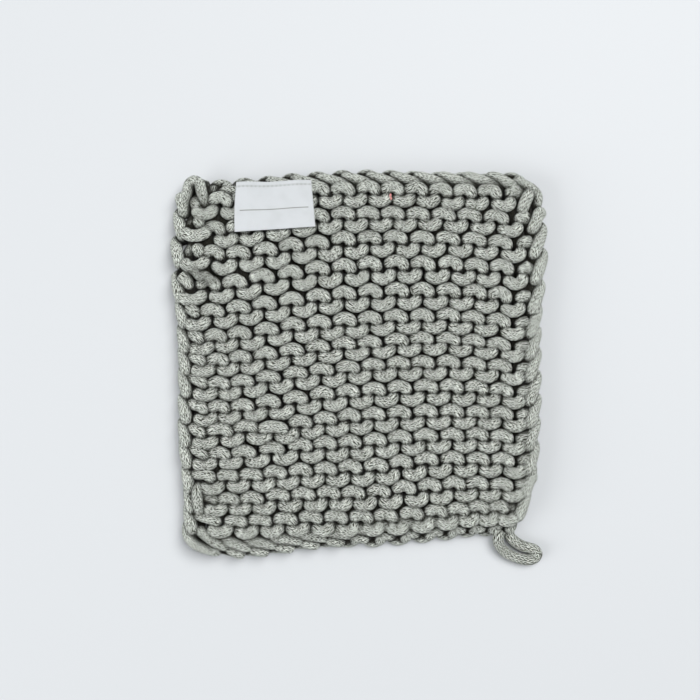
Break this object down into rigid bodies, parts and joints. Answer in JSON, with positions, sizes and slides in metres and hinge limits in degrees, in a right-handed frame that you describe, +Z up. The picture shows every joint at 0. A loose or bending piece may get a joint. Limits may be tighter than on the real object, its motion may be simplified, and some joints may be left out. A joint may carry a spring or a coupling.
{
  "type": "knitted pot holder",
  "caption": "Square garter-stitch pot holder of thick cotton cord with a hanging loop and a plain sewn label, lying flat, for gripping or resting hot pans.",
  "frame": {"origin": "on the surface that the pot holder lies on, under the middle of the knitted square's box", "axes": "+X to the right along the ridges, +Y up the knitting towards the bound-off edge, +Z up out of the face"},
  "size_m": [0.2056, 0.2155, 0.0176],
  "materials": {
    "cotton_cord": "matt sage-grey knitted cotton cord",
    "loop_cord": "matt sage-grey knitted cotton cord",
    "white_satin": "white woven satin ribbon"
  },
  "bodies": {
    "root": {"knitted_square": "cotton_cord", "hanging_loop": "loop_cord", "sewn_label": "white_satin"}
  },
  "joints": []
}
